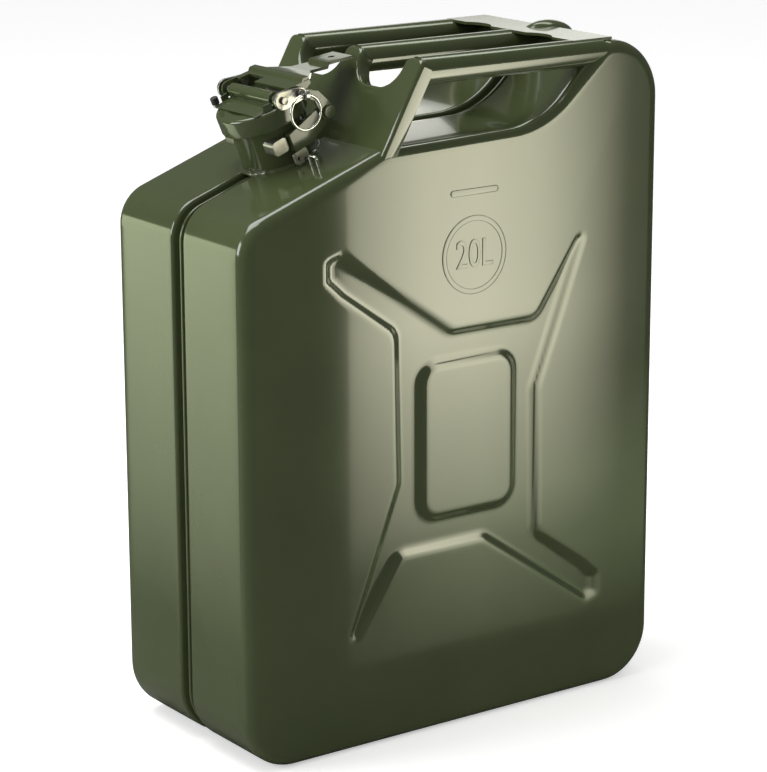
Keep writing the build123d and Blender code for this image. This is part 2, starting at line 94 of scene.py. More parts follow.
def spun(profile, steps=72, closed=True):
    # turns a profile of (radius, height) round the local z axis
    bm = bmesh.new()
    verts, edges = pathEdges(bm, [(r, 0, h) for r, h in profile], closed)
    bmesh.ops.spin(bm, geom=verts + edges, cent=(0, 0, 0), axis=(0, 0, 1), dvec=(0, 0, 0),
                   angle=2 * pi, steps=steps, use_merge=True, use_duplicate=False)
    bmesh.ops.remove_doubles(bm, verts=bm.verts, dist=0.001)
    bmesh.ops.recalc_face_normals(bm, faces=bm.faces)
    return bm


def finishPiece(name, bm, body, material, space=worldSpace, nodes=(), sharp=35):
    bm.transform(space)
    mesh = bpy.data.meshes.new(name)
    bm.to_mesh(mesh)
    bm.free()
    mesh.materials.append(material)
    mesh.shade_smooth()
    mesh.set_sharp_from_angle(angle=radians(sharp))
    obj = bpy.data.objects.new(name, mesh)
    bpy.context.scene.collection.objects.link(obj)
    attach(obj, body)
    if nodes:
        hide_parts(*nodes)
    return obj


def addBevel(obj, width, segments=2, angle=30):
    bevel = obj.modifiers.new("edges", "BEVEL")
    bevel.width = width * mm
    bevel.segments = segments
    bevel.limit_method = "ANGLE"
    bevel.angle_limit = radians(angle)
    bevel.harden_normals = True
    return obj


def softCopy(node, name, body, material, width=0.4, segments=2):
    # a CAD node's shape with its edges eased
    bm = bmesh.new()
    bm.from_mesh(frame["nodes"][node].data)
    bmesh.ops.remove_doubles(bm, verts=bm.verts, dist=2e-6)
    bmesh.ops.dissolve_limit(bm, angle_limit=radians(0.6), verts=bm.verts, edges=bm.edges)
    obj = finishPiece(name, bm, body, material, Matrix.Identity(4), [node])
    return addBevel(obj, width, segments)


def paintNode(node, material):
    # for a CAD node that shows as it is
    slots = frame["nodes"][node].data.materials
    slots.clear()
    slots.append(material)


def newMaterial(name):
    material = bpy.data.materials.new(name)
    material.use_nodes = True
    tree = material.node_tree
    shader = tree.nodes["Principled BSDF"]
    coords = tree.nodes.new("ShaderNodeTexCoord")
    return material, tree, shader, coords.outputs["Object"]


def noiseNode(tree, coords, scale, detail=3.0, roughness=0.5, stretch=None):
    if stretch:
        mapping = tree.nodes.new("ShaderNodeMapping")
        mapping.inputs["Scale"].default_value = stretch
        tree.links.new(coords, mapping.inputs["Vector"])
        coords = mapping.outputs["Vector"]
    node = tree.nodes.new("ShaderNodeTexNoise")
    node.inputs["Scale"].default_value = scale
    node.inputs["Detail"].default_value = detail
    node.inputs["Roughness"].default_value = roughness
    tree.links.new(coords, node.inputs["Vector"])
    return node.outputs["Fac"]


def rampNode(tree, value, stops):
    node = tree.nodes.new("ShaderNodeValToRGB")
    ramp = node.color_ramp
    while len(ramp.elements) < len(stops):
        ramp.elements.new(0.5)
    for element, (place, colour) in zip(ramp.elements, stops):
        element.position = place
        element.color = (*colour, 1)
    tree.links.new(value, node.inputs["Fac"])
    return node.outputs["Color"]


def spanNode(tree, value, low, high):
    node = tree.nodes.new("ShaderNodeMapRange")
    node.inputs["To Min"].default_value = low
    node.inputs["To Max"].default_value = high
    tree.links.new(value, node.inputs["Value"])
    return node.outputs["Result"]


def bumpNode(tree, heights, normalInput):
    # stacks bumps of (height, strength, distance in mm)
    previous = None
    for height, strength, distance in heights:
        node = tree.nodes.new("ShaderNodeBump")
        node.inputs["Strength"].default_value = strength
        node.inputs["Distance"].default_value = distance * mm
        tree.links.new(height, node.inputs["Height"])
        if previous:
            tree.links.new(previous, node.inputs["Normal"])
        previous = node.outputs["Normal"]
    tree.links.new(previous, normalInput)


paint = {"dark": (0.042, 0.054, 0.021), "light": (0.053, 0.067, 0.027), "roughLow": 0.11,
         "roughHigh": 0.20, "coat": 0.35, "coatRough": 0.06, "ior": 1.5, "cloudScale": 9.0,
         "streakScale": 30.0, "peelScale": 900.0, "waveScale": 28.0}


def paintMaterial():
    material, tree, shader, coords = newMaterial("oliveGloss")
    cloud = noiseNode(tree, coords, paint["cloudScale"], 4.0, 0.55)
    tree.links.new(rampNode(tree, cloud, [(0.3, paint["dark"]), (0.7, paint["light"])]),
                   shader.inputs["Base Color"])
    streak = noiseNode(tree, coords, paint["streakScale"], 5.0, 0.6, (1.0, 1.0, 0.25))
    tree.links.new(spanNode(tree, streak, paint["roughLow"], paint["roughHigh"]),
                   shader.inputs["Roughness"])
    peel = noiseNode(tree, coords, paint["peelScale"], 2.0)
    wave = noiseNode(tree, coords, paint["waveScale"], 2.0)
    bumpNode(tree, [(wave, 0.06, 0.3), (peel, 0.08, 0.02)], shader.inputs["Normal"])
    shader.inputs["Coat Weight"].default_value = paint["coat"]
    shader.inputs["Coat Roughness"].default_value = paint["coatRough"]
    shader.inputs["IOR"].default_value = paint["ior"]
    return material


zinc = {"dark": (0.36, 0.34, 0.29), "light": (0.56, 0.56, 0.53), "roughLow": 0.26, "roughHigh": 0.45,
        "cloudScale": 120.0, "grainScale": 900.0}


def zincMaterial():
    material, tree, shader, coords = newMaterial("zincPlate")
    cloud = noiseNode(tree, coords, zinc["cloudScale"], 5.0, 0.6)
    tree.links.new(rampNode(tree, cloud, [(0.25, zinc["dark"]), (0.65, zinc["light"])]),
                   shader.inputs["Base Color"])
    grain = noiseNode(tree, coords, zinc["grainScale"], 3.0, 0.6, (1.0, 1.0, 0.15))
    tree.links.new(spanNode(tree, grain, zinc["roughLow"], zinc["roughHigh"]), shader.inputs["Roughness"])
    bumpNode(tree, [(cloud, 0.15, 0.05), (grain, 0.12, 0.02)], shader.inputs["Normal"])
    shader.inputs["Metallic"].default_value = 1.0
    return material


wire = {"dark": (0.62, 0.62, 0.6), "light": (0.86, 0.86, 0.84), "roughLow": 0.12, "roughHigh": 0.26,
        "drawScale": 700.0}


def wireMaterial():
    material, tree, shader, coords = newMaterial("brightWire")
    draw = noiseNode(tree, coords, wire["drawScale"], 3.0)
    tree.links.new(rampNode(tree, draw, [(0.3, wire["dark"]), (0.7, wire["light"])]),
                   shader.inputs["Base Color"])
    tree.links.new(spanNode(tree, draw, wire["roughLow"], wire["roughHigh"]), shader.inputs["Roughness"])
    bumpNode(tree, [(draw, 0.08, 0.02)], shader.inputs["Normal"])
    shader.inputs["Metallic"].default_value = 1.0
    return material


seal = {"dark": (0.012, 0.012, 0.012), "light": (0.028, 0.028, 0.028), "roughLow": 0.45, "roughHigh": 0.7,
        "grainScale": 600.0}


def rubberMaterial():
    material, tree, shader, coords = newMaterial("darkRubber")
    grain = noiseNode(tree, coords, seal["grainScale"], 4.0)
    tree.links.new(rampNode(tree, grain, [(0.3, seal["dark"]), (0.7, seal["light"])]),
                   shader.inputs["Base Color"])
    tree.links.new(spanNode(tree, grain, seal["roughLow"], seal["roughHigh"]), shader.inputs["Roughness"])
    bumpNode(tree, [(grain, 0.25, 0.05)], shader.inputs["Normal"])
    return material


olive = paintMaterial()
plated = zincMaterial()
bright = wireMaterial()
rubber = rubberMaterial()
print("materials made")

# the tank: its outline lies in x and z, and the big faces are pressed in y
tank = {
    "halfWidth": 172.5, "halfDepth": 78.0, "top": 464.0,
    "baseR": 38.0, "rearR": 41.0, "crestX": 125.0, "crestR": 12.0,
    "valleyRearX": 72.0, "valleyRearZ": 413.5, "valleyRearR": 70.0,
    "valleyFrontX": -60.0, "valleyFrontZ": 409.0, "valleyFrontR": 25.0,
    "shoulderAngle": 20.0, "shoulderR": 27.0,
    "edgeR": 8.0, "crown": 0.3, "crownReach": 110.0, "wall": 1.0, "outlineSteps": 16,
    "cell": 2.3, "edgeCells": 18, "edgeReach": 40.0, "wallStep": 9.0, "lipStart": 32.0, "lipStep": 2.4,
    "lipR": 2.5, "seamHalf": 6.0, "seamDepth": 7.0, "ribHalf": 1.3,
    "neckHoleR": 24.2, "neckHoleReach": 16.0,
}
pressing = {
    "x": 8.0, "z": 206.0, "depth": 4.5, "wallWidth": 7.5,
    "half": [(-117, 137), (-104, 141), (-13, 77.5), (56.5, 77.5), (114.5, 161), (61, 24), (63, -78.5),
             (104, -108), (117, -120)],
    "radii": [4.0, 6.0, 9.0, 9.0, 5.0, 9.0, 9.0, 6.0, 4.0],
    "padHalfX": 35.5, "padHalfZ": 50.0, "padR": 10.0, "padWall": 7.5,
}


def tankOutline():
    hw, slope = tank["halfWidth"], tan(radians(tank["shoulderAngle"]))
    shoulderZ = tank["valleyFrontZ"] - (hw + tank["valleyFrontX"]) * slope
    corners = [(-hw, 0), (hw, 0), (hw, tank["top"]), (tank["crestX"], tank["top"]),
               (tank["valleyRearX"], tank["valleyRearZ"]), (tank["valleyFrontX"], tank["valleyFrontZ"]),
               (-hw, shoulderZ)]
    radii = [tank["baseR"], tank["baseR"], tank["rearR"], tank["crestR"], tank["valleyRearR"],
             tank["valleyFrontR"], tank["shoulderR"]]
    return np.array([tuple(p) for p in roundPath(corners, radii, tank["outlineSteps"], True)])


def distanceTo(path, x, z):
    # distance from each point to a closed path
    best = np.full(len(x), 1e9)
    for a, b in zip(path, np.roll(path, -1, axis=0)):
        run = b - a
        length = run @ run
        if length < 1e-9:
            continue
        t = np.clip(((x - a[0]) * run[0] + (z - a[1]) * run[1]) / length, 0, 1)
        best = np.minimum(best, np.hypot(x - a[0] - t * run[0], z - a[1] - t * run[1]))
    return best


def isInside(path, x, z):
    inside = np.zeros(len(x), bool)
    for (ax, az), (bx, bz) in zip(path, np.roll(path, -1, axis=0)):
        if az != bz:
            crosses = (az > z) != (bz > z)
            inside ^= crosses & (x < (bx - ax) * (z - az) / (bz - az) + ax)
    return inside


def easeInOut(value):
    value = np.clip(value, 0, 1)
    return value * value * (3 - 2 * value)


def pressedDepth(x, z):
    x, z = x - pressing["x"], z - pressing["z"]
    corners = pressing["half"] + [(-px, -pz) for px, pz in pressing["half"]]
    path = np.array([tuple(p) for p in roundPath(corners, pressing["radii"] * 2, closed=True)])
    depth = distanceTo(path, x, z) * isInside(path, x, z)
    channel = easeInOut(depth / pressing["wallWidth"])
    dx = np.maximum(np.abs(x) - pressing["padHalfX"] + pressing["padR"], 0)
    dz = np.maximum(np.abs(z) - pressing["padHalfZ"] + pressing["padR"], 0)
    pad = np.hypot(dx, dz) - pressing["padR"]
    return pressing["depth"] * channel * easeInOut(pad / pressing["padWall"])


def faceHeight(path, x, z):
    # how far the big face stands from the seam plane
    gap = distanceTo(path, x, z)
    r = tank["edgeR"]
    drop = r - np.sqrt(np.maximum(r * r - np.maximum(r - gap, 0) ** 2, 0))
    crown = tank["crown"] * easeInOut(gap / tank["crownReach"])
    return tank["halfDepth"] - drop + crown - pressedDepth(x, z)


def cellPlaces(span):
    # fine steps at both ends, where the rounding is, and even ones between
    n, reach = tank["edgeCells"], tank["edgeReach"]
    ends = [reach * (1 - cos(k / n * pi / 2)) for k in range(n)]
    even = round((span - 2 * reach) / tank["cell"])
    middle = [reach + (span - 2 * reach) * k / even for k in range(even + 1)]
    return ends, middle


def shellMesh():
    path = tankOutline()
    hw, reach = tank["halfWidth"], tank["edgeReach"]
    top = path[[p[1] > tank["top"] / 2 for p in path]]
    low = path[[p[1] < tank["top"] / 2 for p in path]]
    top, low = top[np.argsort(top[:, 0], kind="stable")], low[np.argsort(low[:, 0], kind="stable")]
    ends, middle = cellPlaces(2 * hw)
    columns = [-hw + e for e in ends] + [-hw + m for m in middle] + [hw - e for e in reversed(ends)]
    rowEnds, rowMiddle = cellPlaces(tank["top"])
    rowShare = [(m - reach) / (tank["top"] - 2 * reach) for m in rowMiddle]
    across, up = len(columns) - 1, 2 * len(rowEnds) + len(rowMiddle) - 1

    bm = bmesh.new()
    bmesh.ops.create_grid(bm, x_segments=across, y_segments=up, size=1)
    verts = list(bm.verts)
    x, z = np.zeros(len(verts)), np.zeros(len(verts))
    for k, v in enumerate(verts):
        i, j = round((v.co.x + 1) / 2 * across), round((v.co.y + 1) / 2 * up)
        x[k] = columns[i]
        zLow, zTop = np.interp(x[k], low[:, 0], low[:, 1]), np.interp(x[k], top[:, 0], top[:, 1])
        if j < len(rowEnds):
            z[k] = zLow + rowEnds[j]
        elif j > up - len(rowEnds):
            z[k] = zTop - rowEnds[up - j]
        else:
            z[k] = zLow + reach + (zTop - zLow - 2 * reach) * rowShare[j - len(rowEnds)]
    y = -faceHeight(path, x, z)
    for k, v in enumerate(verts):
        v.co = (x[k], y[k], z[k])
    return bm


def lipRings():
    # (inset, distance from the seam plane) from the edge of the big face to the rib
    lip, half, deep = tank["lipR"], tank["seamHalf"], tank["seamDepth"]
    start = tank["halfDepth"] - tank["edgeR"]
    flat = [start - tank["wallStep"] * k for k in range(1, 5)]
    flat += [tank["lipStart"] - tank["lipStep"] * k for k in range(10)]
    rings = [(0.0, y) for y in flat]
    rings += [(lip - lip * cos(k * pi / 8), half + lip - lip * sin(k * pi / 8)) for k in range(5)]
    rings += [(deep - 1.0, half), (deep - 0.3, half - 0.3)]
    return rings + [(deep, half - 1.0), (deep, tank["ribHalf"])]


def addSideWall(bm):
    edges = [e for e in bm.edges if e.is_boundary]
    inward = {}
    for v in {v for e in edges for v in e.verts}:
        a, b = [e.other_vert(v).co for e in v.link_edges if e.is_boundary]
        run = (b - a).normalized()
        side = Vector((-run.z, 0, run.x))
        middle = sum((f.calc_center_median() for f in v.link_faces), Vector()) / len(v.link_faces)
        inward[v] = (v.co.copy(), side if side.dot(middle - v.co) > 0 else -side)
    for inset, distance in lipRings():
        here = {tuple(round(c, 4) for c in v.co): inward[v] for v in inward}
        made = bmesh.ops.extrude_edge_only(bm, edges=edges)["geom"]
        edges = [g for g in made if isinstance(g, bmesh.types.BMEdge)]
        inward = {}
        for v in [g for g in made if isinstance(g, bmesh.types.BMVert)]:
            base, side = here[tuple(round(c, 4) for c in v.co)]
            inward[v] = (base, side)
            v.co = (base.x + side.x * inset, -distance, base.z + side.z * inset)
    return bm


def cutNeckHole(bm):
    # faces under the neck go; the jagged edge stays hidden under the tube and its weld
    toNeck = neckSpace.inverted() @ worldSpace
    gone = []
    for f in bm.faces:
        p = toNeck @ f.calc_center_median()
        if abs(p.z) < tank["neckHoleReach"] and p.x * p.x + p.y * p.y < tank["neckHoleR"] ** 2:
            gone.append(f)
    bmesh.ops.delete(bm, geom=gone, context="FACES")


def makeShells():
    bm = addSideWall(shellMesh())
    cutNeckHole(bm)
    bmesh.ops.recalc_face_normals(bm, faces=bm.faces)
    probe = max(bm.faces, key=lambda f: f.calc_area())
    if probe.normal.y > 0:
        bmesh.ops.reverse_faces(bm, faces=bm.faces)
    far = bm.copy()
    bmesh.ops.scale(far, vec=(1, -1, 1), verts=far.verts)
    bmesh.ops.reverse_faces(far, faces=far.faces)
    for mesh, name, node in ((bm, "nearShell", "near_shell"), (far, "farShell", "far_shell")):
        obj = finishPiece(name, mesh, "can", olive, nodes=[node], sharp=60)
        skin = obj.modifiers.new("sheet", "SOLIDIFY")
        skin.thickness = tank["wall"] * mm
        skin.offset = -1


makeShells()
print("tank shells made")

# the welded rib at the bottom of the recess between the shells
rib = {"lip": 2.4, "halfThick": 1.3, "round": 0.8, "sunk": 2.0}


def makeRib():
    outline = [Vector(p) for p in tankOutline()]
    count = len(outline)
    bm = bmesh.new()
    loops = []
    lip, half, r = rib["lip"], rib["halfThick"], rib["round"]
    section = [(tank["seamDepth"] + rib["sunk"], half), (lip + r, half)]
    section += [(lip + 0.3 * r, half - 0.3 * r), (lip, half - r)]
    section += [(inset, -y) for inset, y in reversed(section)]
    for inset, y in section:
        points = []
        for i, p in enumerate(outline):
            run = (outline[(i + 1) % count] - outline[i - 1]).normalized()
            points.append((p.x - run.y * inset, y, p.y + run.x * inset))
        loops.append(pathEdges(bm, points)[1])
    for a, b in zip(loops, loops[1:] + loops[:1]):
        bmesh.ops.bridge_loops(bm, edges=a + b)
    bmesh.ops.recalc_face_normals(bm, faces=bm.faces)
    finishPiece("seamRib", bm, "can", olive, nodes=["seam_flange"], sharp=50)


makeRib()
print("seam rib made")

# the capacity mark, raised on both big faces
mark = {"x": 11.6, "z": 331.0, "ringR": 25.0, "ringWidth": 3.8, "ringCurve": 0.7, "ringSteps": 96,
        "proud": 0.5, "sunk": 0.6, "barZ": 374.0, "barHalf": 20.0, "barWidth": 4.5,
        "text": "20L", "textSize": 27.0, "textWide": 0.78, "textBevel": 0.3, "textShrink": 0.1}


def markPieces(side, tag):
    # side is -1 on the near face and 1 on the far face
    faceY = side * faceHeight(tankOutline(), np.array([mark["x"]]), np.array([mark["z"]]))[0]
    turn = Matrix.Rotation(side * -pi / 2, 4, "X")
    w, h = mark["ringWidth"] / 2, mark["proud"]
    arch = [pi * k / 10 for k in range(1, 10)]
    band = [(mark["ringR"] + w * cos(a), h * sin(a) ** mark["ringCurve"]) for a in arch]
    band = [(mark["ringR"] + w, -mark["sunk"])] + band + [(mark["ringR"] - w, -mark["sunk"])]
    ring = spun(band, mark["ringSteps"])
    ring.transform(turn)
    ring.transform(Matrix.Translation((mark["x"], faceY, mark["z"])))
    finishPiece("markRing" + tag, ring, "can", olive, sharp=80)
    bar = bmesh.new()
    bmesh.ops.create_uvsphere(bar, u_segments=24, v_segments=16, radius=1)
    bmesh.ops.rotate(bar, cent=(0, 0, 0), matrix=Matrix.Rotation(pi / 2, 3, "Y"), verts=bar.verts)
    half = mark["barWidth"] / 2
    for v in bar.verts:
        shift = mark["barHalf"] - half
        v.co = (v.co.x * half + (shift if v.co.x > 0.01 else -shift if v.co.x < -0.01 else 0),
                v.co.y * h, v.co.z * half)
    bar.transform(Matrix.Translation((mark["x"], faceY, mark["barZ"])))
    finishPiece("markBar" + tag, bar, "can", olive, sharp=80)
    curve = bpy.data.curves.new("markText" + tag, "FONT")
    curve.body = mark["text"]
    curve.size = mark["textSize"]
    curve.align_x = "CENTER"
    curve.align_y = "CENTER"
    curve.extrude = mark["proud"] - mark["textBevel"]
    curve.bevel_depth = mark["textBevel"]
    curve.bevel_resolution = 2
    curve.offset = -mark["textShrink"]
    holder = bpy.data.objects.new("textHolder", curve)
    bpy.context.scene.collection.objects.link(holder)
    text = bmesh.new()
    text.from_mesh(bpy.data.meshes.new_from_object(holder))
    bpy.data.objects.remove(holder)
    bmesh.ops.remove_doubles(text, verts=text.verts, dist=0.001)
    text.transform(Matrix.Diagonal((mark["textWide"], 1, 1, 1)))
    text.transform(Matrix.Rotation(pi / 2, 4, "X"))
    if side > 0:
        text.transform(Matrix.Rotation(pi, 4, "Z"))
    text.transform(Matrix.Translation((mark["x"], faceY, mark["z"])))
    finishPiece("markText" + tag, text, "can", olive, sharp=50)


markPieces(-1, "Near")
markPieces(1, "Far")
print("marks made")

# the neck, drawn in its own axes as radius and height above its foot
neck = {"outerR": 25.0, "innerR": 23.0, "foot": -12.0, "rimR": 26.5, "rimHeight": 3.8, "rimStep": 0.4,
        "radii": [0, 0.8, 1.1, 1.3, 0.9, 0], "steps": 96, "beadR": 2.4, "beadOut": 1.0, "beadFlat": 0.8,
        "beadWave": 0.55, "beadScale": 0.35, "beadTilt": 3.0, "beadSteps": 180}


def makeNeck():
    top, rim = neckHeight, neck["rimR"]
    rimLow = top - neck["rimHeight"]
    corners = [(neck["outerR"], neck["foot"]), (neck["outerR"], rimLow), (rim, rimLow + neck["rimStep"]),
               (rim, top), (neck["innerR"], top), (neck["innerR"], neck["foot"])]
    profile = roundPath(corners, neck["radii"], 5, True)
    finishPiece("neckTube", spun(profile, neck["steps"]), "can", olive, neckSpace, ["neck_tube", "neck_rim"])
    centre = neck["outerR"] + neck["beadOut"]
    circle = [(centre + neck["beadR"] * cos(a), neck["beadR"] * neck["beadFlat"] * sin(a))
              for a in [2 * pi * k / 14 for k in range(14)]]
    bead = spun(circle, neck["beadSteps"])
    for v in bead.verts:
        v.co += v.normal * neck["beadWave"] * noise.noise(v.co * neck["beadScale"])
    bead.transform(Matrix.Rotation(radians(neck["beadTilt"]), 4, "Y"))
    finishPiece("neckBead", bead, "can", olive, neckSpace, ["neck_weld"])


makeNeck()
paintNode("breather_tube", plated)
print("neck made")

# bracket, arms and small plates; arm points are (along the neck's x, height)
arm = {"pivot": (-1.5, 47.3), "lock": (12.5, 45.2), "elbow": (23.0, 38.0), "hinge": (27.0, 24.0),
       "eyeR": 6.2, "lockR": 4.3, "waistR": 3.4, "footR": 5.6, "step": 0.1}


def linkPlate(name, ends, low, high, body, material, nodes=()):
    # a flat link with round ends, given as (point, radius), between two y planes
    bm = bmesh.new()
    for (t, h), r in ends:
        for k in range(48):
            a = 2 * pi * k / 48
            for y in (low, high):
                bm.verts.new((t + r * cos(a), y, h + r * sin(a)))
    made = bmesh.ops.convex_hull(bm, input=bm.verts)
    spare = {g for g in made["geom_interior"] + made["geom_unused"] if isinstance(g, bmesh.types.BMVert)}
    bmesh.ops.delete(bm, geom=list(spare), context="VERTS")
    bmesh.ops.dissolve_limit(bm, angle_limit=radians(1), verts=bm.verts, edges=bm.edges)
    bmesh.ops.recalc_face_normals(bm, faces=bm.faces)
    return addBevel(finishPiece(name, bm, body, material, neckSpace, nodes), 0.4)


def makeArm(tag, node):
    low, high = (corner.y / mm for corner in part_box(node))
    step = arm["step"]
    linkPlate(tag + "ArmLink", [(arm["pivot"], arm["eyeR"]), (arm["lock"], arm["lockR"])],
              low, high, "lid", plated, [node])
    linkPlate(tag + "ArmBend", [(arm["lock"], arm["waistR"]), (arm["elbow"], arm["waistR"])],
              low + step, high - step, "lid", olive)
    linkPlate(tag + "ArmFoot", [(arm["elbow"], arm["waistR"]), (arm["hinge"], arm["footR"])],
              low + 2 * step, high - 2 * step, "lid", olive)


softCopy("hinge_bracket", "hingeBracket", "can", olive, width=0.35)
softCopy("side_lugs", "sideLugs", "can", plated, 0.9, 3)
softCopy("seal_plates", "sealPlates", "can", plated, 0.35)
for tag in ("near", "far"):
    makeArm(tag, tag + "_swing_arm")
softCopy("pivot_pin", "pivotPin", "lid", plated, 0.4)
softCopy("hinge_rivets", "hingeRivets", "can", olive, 0.6, segments=3)
print("bracket made")

# the lid cup and what is welded to it
lid = {"r": 30.0, "top": 42.5, "skirt": 13.0, "wall": 1.6, "padR": 19.5, "stepR": 21.5, "dip": 0.5,
       "radii": [0, 1.0, 1.0, 2.4, 0.7, 0.7, 1.2, 0], "steps": 96}


def makeLid():
    r, top, low, wall = lid["r"], lid["top"], lid["top"] - lid["skirt"], lid["wall"]
    corners = [(0, top - lid["dip"]), (lid["padR"], top - lid["dip"]), (lid["stepR"], top), (r, top),
               (r, low), (r - wall, low), (r - wall, top - wall), (0, top - wall)]
    profile = roundPath(corners, lid["radii"], 5)
    finishPiece("lidCup", spun(profile, lid["steps"], False), "lid", olive, neckSpace, ["lid_cup"])
    softCopy("lid_saddle", "lidSaddle", "lid", olive, 0.4)
    softCopy("saddle_lugs", "saddleLugs", "lid", olive, 0.5)
    softCopy("lever", "leverPlate", "lever", olive, 0.5, segments=3)


knob = {"x": -18.0, "y": 23.5, "low": 43.5, "high": 50.5, "r": 2.7, "collarR": 2.1, "collarTop": 45.5,
        "studTop": 46.0, "radii": [0, 0.5, 0.9, 0], "steps": 32}


def makeKnob():
    # a cap on a short plated stud at the saddle's far corner; the cap's black rubber is painted shade,
    # standing for the unlit far side of the lug
    corners = [(0, knob["collarTop"]), (knob["r"], knob["collarTop"]), (knob["r"], knob["high"]),
               (0, knob["high"])]
    cap = roundPath(corners, knob["radii"], 4)
    stud = [(0, knob["low"]), (knob["collarR"], knob["low"]), (knob["collarR"], knob["studTop"]),
            (0, knob["studTop"])]
    # the cap's black is painted shade, not a real rubber part
    parts = (("knobCapPaintedShade", cap, rubber, "rubber"), ("knobStud", stud, plated, "zinc"))
    for name, profile, material, slot in parts:
        bm = spun(profile, knob["steps"], False)
        bm.transform(Matrix.Translation((knob["x"], knob["y"], 0)))
        finishPiece(name, bm, "lid", material, neckSpace)


makeLid()
makeKnob()
paintNode("gasket", rubber)
paintNode("gasket_plate", plated)
print("lid made")

# locking pin and its pull ring
pull = {"ringR": 11.5, "wireR": 0.9, "steps": 96}


def makeRing():
    softCopy("locking_pin", "lockingPin", "locking_pin", plated, 0.3)
    low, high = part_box("pull_ring")
    centre = (low + high) / 2
    circle = [(pull["ringR"] + pull["wireR"] * cos(a), pull["wireR"] * sin(a))
              for a in [2 * pi * k / 16 for k in range(16)]]
    ring = spun(circle, pull["steps"])
    ring.transform(Matrix.Rotation(pi / 2, 4, "X"))
    space = Matrix.Translation(centre) @ worldSpace
    finishPiece("pullRing", ring, "pull_ring", bright, space, ["pull_ring"])


makeRing()
print("ring made")

# handle tubes and the plates that hold their ends
handles = {"r": 9.5, "steps": 64}
frontPlate = {"footX": -66.0, "footZ": 400.0, "lean": 29.0, "half": 77.5, "spacing": 68.0,
              "crestHalf": 10.0, "top": 466.0, "scallop": 21.0, "flange": 11.0, "sheet": 1.6,
              "foldR": 3.0, "crestR": 6.0, "cornerR": 5.0, "arcGap": 0.1}


def makeTube(node, name):
    low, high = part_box(node)
    low, high = low / mm, high / mm
    y, z = (low.y + high.y) / 2, high.z - handles["r"]
    bm = bmesh.new()
    bmesh.ops.create_cone(bm, cap_ends=True, segments=handles["steps"], radius1=handles["r"],
                          radius2=handles["r"], depth=high.x - low.x)
    bm.transform(Matrix.Rotation(pi / 2, 4, "Y"))
    bm.transform(Matrix.Translation(((low.x + high.x) / 2, y, z)))
    finishPiece(name, bm, "can", olive, nodes=[node])


def makeFrontPlate():
    lean = radians(frontPlate["lean"])
    length = (frontPlate["top"] - frontPlate["footZ"]) / cos(lean)
    half, crest, row = frontPlate["half"], frontPlate["crestHalf"], frontPlate["spacing"]
    dip = length - frontPlate["scallop"] / cos(lean)
    bowlR = length - dip - frontPlate["crestR"] - frontPlate["arcGap"]
    side = [(crest, length), (crest, dip), (row - crest, dip), (row - crest, length),
            (half, length), (half, 0)]
    radii = [frontPlate["crestR"], bowlR, bowlR, frontPlate["crestR"], frontPlate["cornerR"], 0]
    points = side + [(-u, v) for u, v in reversed(side)]
    path = roundPath(points, radii + radii[::-1], 8, True)
    bm = bmesh.new()
    pathEdges(bm, [(p.x, p.y, 0) for p in path])
    bmesh.ops.remove_doubles(bm, verts=bm.verts, dist=0.02)
    bmesh.ops.contextual_create(bm, geom=bm.edges[:])
    front = bm.faces[:]
    made = bmesh.ops.extrude_face_region(bm, geom=front)["geom"]
    moved = [g for g in made if isinstance(g, bmesh.types.BMVert)]
    back = [g for g in made if isinstance(g, bmesh.types.BMFace)]
    bmesh.ops.translate(bm, vec=(0, 0, -frontPlate["flange"]), verts=moved)
    bmesh.ops.delete(bm, geom=back, context="FACES_ONLY")
    fold = [e for e in bm.edges if all(abs(v.co.z) < 0.01 for v in e.verts)]
    bmesh.ops.bevel(bm, geom=fold, offset=frontPlate["foldR"], segments=4, profile=0.5, affect="EDGES",
                    material=-1)
    bmesh.ops.recalc_face_normals(bm, faces=bm.faces)
    out = Vector((-cos(lean), 0, sin(lean)))
    up = Vector((sin(lean), 0, cos(lean)))
    place = Matrix((Vector((0, -1, 0)), up, out)).transposed().to_4x4()
    place = Matrix.Translation((frontPlate["footX"], 0, frontPlate["footZ"])) @ place
    bm.transform(place)
    probe = max(bm.faces, key=lambda f: f.calc_area())
    if probe.normal.dot(out) < 0:
        bmesh.ops.reverse_faces(bm, faces=bm.faces)
    obj = finishPiece("frontPlate", bm, "can", olive, nodes=["handle_front_plate"], sharp=50)
    skin = obj.modifiers.new("sheet", "SOLIDIFY")
    skin.thickness = frontPlate["sheet"] * mm
    skin.offset = -1
    flat = obj.modifiers.new("flatFaces", "WEIGHTED_NORMAL")
    flat.keep_sharp = True


def makeSeamCover():
    # a smooth bulge over the seam at the rear of the handles
    low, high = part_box("seam_cover")
    low, high = low / mm, high / mm
    base = low.z
    bm = bmesh.new()
    bmesh.ops.create_uvsphere(bm, u_segments=48, v_segments=24, radius=1)
    bmesh.ops.scale(bm, vec=((high.x - low.x) / 2, (high.y - low.y) / 2, high.z - base), verts=bm.verts)
    bm.transform(Matrix.Translation(((low.x + high.x) / 2, 0, base)))
    finishPiece("seamCover", bm, "can", olive, nodes=["seam_cover"])


for place in ("near", "middle", "far"):
    makeTube(place + "_handle", place + "Handle")
makeFrontPlate()
softCopy("handle_rear_plate", "rearPlate", "can", olive, 0.7)
makeSeamCover()
softCopy("wire_staple", "wireStaple", "can", bright, 0.1)
print("handles made")

